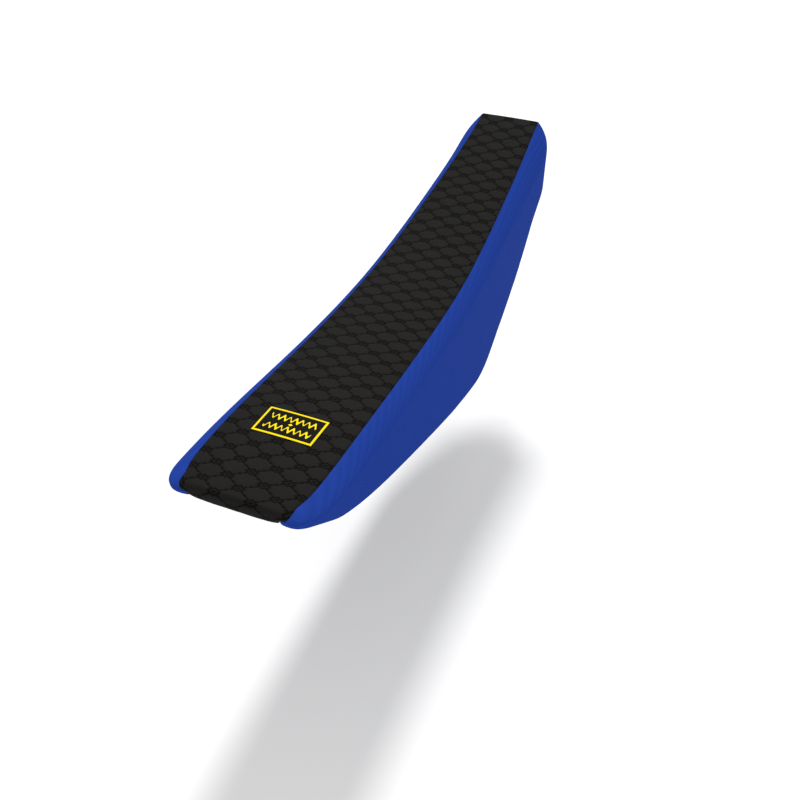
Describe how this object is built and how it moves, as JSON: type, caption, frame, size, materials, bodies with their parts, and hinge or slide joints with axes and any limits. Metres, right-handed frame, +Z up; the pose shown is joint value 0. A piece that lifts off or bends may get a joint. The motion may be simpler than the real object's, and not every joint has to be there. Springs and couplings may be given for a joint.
{
  "type": "motorcycle seat",
  "caption": "Long slim off-road motorcycle seat: black patterned top panel, blue side panels, stapled over foam on a moulded base with a front tongue, centre hook and rear bolt eyes",
  "frame": {"origin": "on the centre plane, on the flat top face of the front tongue, 16 mm back from its tip", "axes": "+Y towards the nose of the seat, +X to the rider's right, +Z up"},
  "size_m": [0.146, 0.7133, 0.2235],
  "materials": {
    "seat_base": "black moulded polypropylene, fine texture",
    "foam": "moulded polyurethane foam, hidden by the cover",
    "gripper_vinyl": "black grippy coated vinyl with an embossed trellis",
    "blue_vinyl": "blue upholstery vinyl with a fine grain, low sheen",
    "label": "flexible printed badge, yellow on black",
    "zinc_steel": "zinc-plated pressed steel",
    "fixings": "bright plated wire and screws",
    "rubber": "black moulded rubber"
  },
  "bodies": {
    "root": {"bolt_collar_left": "fixings", "bolt_collar_right": "fixings", "bolt_grommet_left": "rubber", "bolt_grommet_right": "rubber", "bracket_screw_left_front": "fixings", "bracket_screw_left_rear": "fixings", "bracket_screw_right_front": "fixings", "bracket_screw_right_rear": "fixings", "bumper_left_front": "rubber", "bumper_left_middle": "rubber", "bumper_left_rear": "rubber", "bumper_right_front": "rubber", "bumper_right_middle": "rubber", "bumper_right_rear": "rubber", "foam_pad": "foam", "front_tongue": "zinc_steel", "left_side_cover": "blue_vinyl", "rear_bracket_left": "zinc_steel", "rear_bracket_right": "zinc_steel", "rear_label": "label", "right_side_cover": "blue_vinyl", "seat_base": "seat_base", "staple_front_01": "fixings", "staple_front_02": "fixings", "staple_left_01": "fixings", "staple_left_02": "fixings", "staple_left_03": "fixings", "staple_left_04": "fixings", "staple_left_05": "fixings", "staple_left_06": "fixings", "staple_left_07": "fixings", "staple_left_08": "fixings", "staple_left_09": "fixings", "staple_left_10": "fixings", "staple_left_11": "fixings", "staple_left_12": "fixings", "staple_rear_01": "fixings", "staple_rear_02": "fixings", "staple_right_01": "fixings", "staple_right_02": "fixings", "staple_right_03": "fixings", "staple_right_04": "fixings", "staple_right_05": "fixings", "staple_right_06": "fixings", "staple_right_07": "fixings", "staple_right_08": "fixings", "staple_right_09": "fixings", "staple_right_10": "fixings", "staple_right_11": "fixings", "staple_right_12": "fixings", "tank_hook": "zinc_steel", "tank_hook_rivet_left": "fixings", "tank_hook_rivet_right": "fixings", "tongue_screw_left": "fixings", "tongue_screw_right": "fixings", "top_cover": "gripper_vinyl"}
  },
  "joints": []
}
